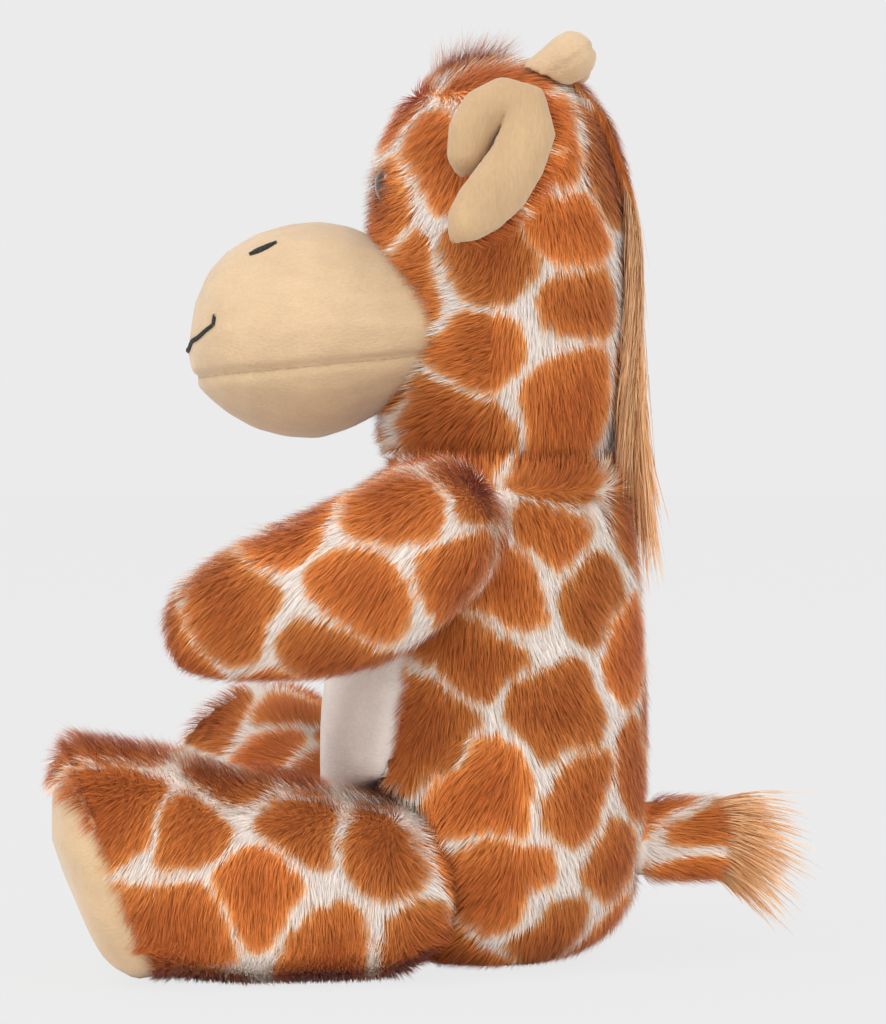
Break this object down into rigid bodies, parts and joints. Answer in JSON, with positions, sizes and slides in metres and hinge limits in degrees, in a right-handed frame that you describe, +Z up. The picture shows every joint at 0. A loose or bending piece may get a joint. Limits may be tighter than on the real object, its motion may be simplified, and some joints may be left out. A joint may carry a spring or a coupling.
{
  "type": "plush_giraffe",
  "caption": "Sitting plush giraffe of long patterned fur with a beige muzzle, ears, horns and soles; its head, arms, legs, ears and tail turn on soft joints",
  "frame": {"origin": "at the middle of the flat under the seat, on the floor", "axes": "+Z up, the toy faces -Y, its left side is +X"},
  "size_m": [0.2308, 0.2663, 0.2974],
  "materials": {
    "patterned_fur": "long pile of 7 to 9 mm, rust-orange patches on a pinkish white ground",
    "short_plush": "beige short pile",
    "belly_plush": "off-white short pile",
    "long_hair": "tan long hair",
    "thread": "satin-stitch embroidery thread",
    "eye_plastic": "glossy",
    "washer_plastic": "moulded",
    "stuffing": "loose polyester fibre",
    "pellets": "woven bag of plastic pellets",
    "backing": "woven strip"
  },
  "bodies": {
    "torso": {"body_cover": "patterned_fur", "belly_panel": "belly_plush", "body_stuffing": "stuffing", "pellet_bag": "pellets"},
    "neck": {"neck_stuffing": "stuffing"},
    "head": {"head_cover": "patterned_fur", "head_stuffing": "stuffing", "muzzle_upper": "short_plush", "muzzle_chin": "short_plush", "muzzle_stuffing": "stuffing", "mouth_stitch": "thread", "mane_strip": "backing", "mane_pile": "long_hair", "mane_ends": "long_hair", "nostril_left": "thread", "eye_left": "eye_plastic", "eye_washer_left": "washer_plastic", "horn_left": "short_plush", "horn_stuffing_left": "stuffing", "nostril_right": "thread", "eye_right": "eye_plastic", "eye_washer_right": "washer_plastic", "horn_right": "short_plush", "horn_stuffing_right": "stuffing"},
    "tail": {"tail_cover": "patterned_fur", "tail_stuffing": "stuffing", "tail_tuft": "long_hair"},
    "ear_left": {"ear_lining_left": "short_plush", "ear_back_left": "patterned_fur"},
    "arm_left": {"arm_cover_left": "patterned_fur", "arm_stuffing_left": "stuffing"},
    "leg_left": {"leg_cover_left": "patterned_fur", "foot_pad_left": "short_plush", "leg_stuffing_left": "stuffing"},
    "ear_right": {"ear_lining_right": "short_plush", "ear_back_right": "patterned_fur"},
    "arm_right": {"arm_cover_right": "patterned_fur", "arm_stuffing_right": "stuffing"},
    "leg_right": {"leg_cover_right": "patterned_fur", "foot_pad_right": "short_plush", "leg_stuffing_right": "stuffing"}
  },
  "joints": [
    {"name": "neck_turn", "type": "hinge", "parent": "torso", "child": "neck", "pos_m": [0, -0.009, 0.19], "axis": [0, 0, 1], "range_deg": [-35, 35], "stiffness_Nm_per_rad": 1.5},
    {"name": "neck_nod", "type": "hinge", "parent": "neck", "child": "head", "pos_m": [0, -0.009, 0.19], "axis": [1, 0, 0], "range_deg": [-15, 10], "stiffness_Nm_per_rad": 1.5, "deforming": ["mane_ends"]},
    {"name": "ear_swing_left", "type": "hinge", "parent": "head", "child": "ear_left", "pos_m": [0.0465, -0.0057, 0.264], "axis": [0, 1, 0], "range_deg": [-40, 8], "stiffness_Nm_per_rad": 0.05},
    {"name": "ear_swing_right", "type": "hinge", "parent": "head", "child": "ear_right", "pos_m": [-0.0465, -0.0057, 0.264], "axis": [0, -1, 0], "range_deg": [-40, 8], "stiffness_Nm_per_rad": 0.05},
    {"name": "shoulder_left", "type": "hinge", "parent": "torso", "child": "arm_left", "pos_m": [0.048, -0.03, 0.14], "axis": [1, 0, 0], "range_deg": [-60, 12], "stiffness_Nm_per_rad": 0.3},
    {"name": "shoulder_right", "type": "hinge", "parent": "torso", "child": "arm_right", "pos_m": [-0.048, -0.03, 0.14], "axis": [-1, 0, 0], "range_deg": [-12, 60], "stiffness_Nm_per_rad": 0.3},
    {"name": "hip_left", "type": "hinge", "parent": "torso", "child": "leg_left", "pos_m": [0.04, -0.045, 0.033], "axis": [0.9945, 0.1045, 0], "range_deg": [-5, 35], "stiffness_Nm_per_rad": 0.6},
    {"name": "hip_right", "type": "hinge", "parent": "torso", "child": "leg_right", "pos_m": [-0.04, -0.045, 0.033], "axis": [-0.4695, 0.8829, 0], "range_deg": [-35, 5], "stiffness_Nm_per_rad": 0.6},
    {"name": "tail_wag", "type": "hinge", "parent": "torso", "child": "tail", "pos_m": [0, 0.032, 0.038], "axis": [0, 0, 1], "range_deg": [-25, 25], "stiffness_Nm_per_rad": 0.1}
  ]
}
